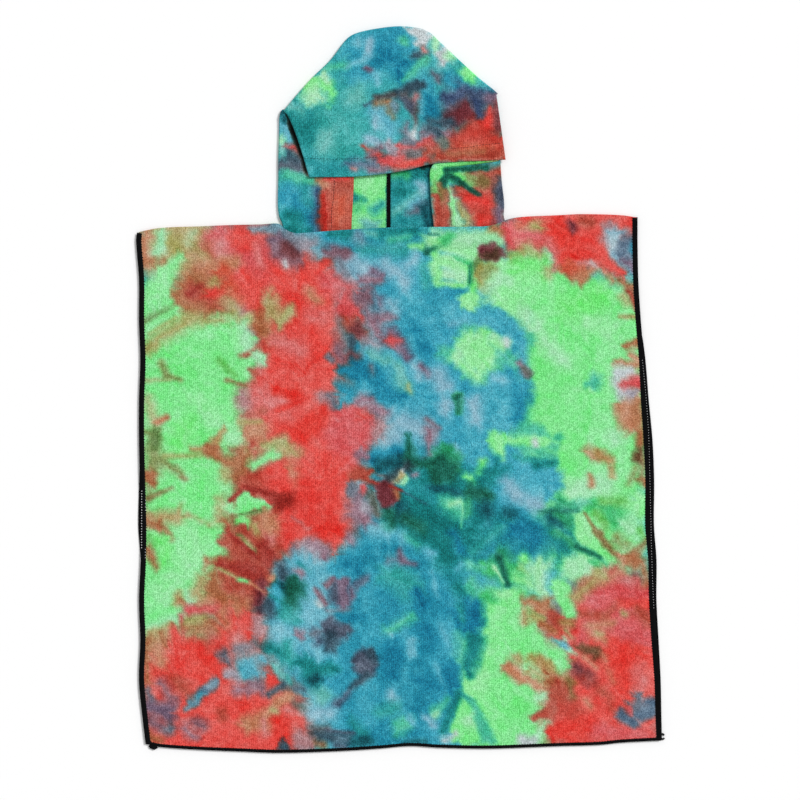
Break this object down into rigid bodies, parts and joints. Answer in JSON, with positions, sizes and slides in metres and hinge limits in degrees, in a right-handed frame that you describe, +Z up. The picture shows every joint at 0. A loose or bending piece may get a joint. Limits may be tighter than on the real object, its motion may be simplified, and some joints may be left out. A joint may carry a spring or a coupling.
{
  "type": "hooded bath poncho",
  "caption": "Child's hooded bath poncho in tie-dyed towelling, laid flat with its front up and the hood spread above the shoulders.",
  "frame": {"origin": "middle of the outline's box, on the surface that the poncho lies on", "axes": "+X to the right of the front as seen from above, +Y from the bottom hem to the crown of the hood, +Z up from the surface"},
  "size_m": [0.6314, 0.8724, 0.0078],
  "materials": {
    "towelling": "soft napped towelling, tie-dyed in red, green and blue",
    "overlock": "black overlock thread"
  },
  "bodies": {
    "root": {"back_panel": "towelling", "front_panel": "towelling", "hood": "towelling", "hood_back_seam": "overlock"}
  },
  "joints": []
}
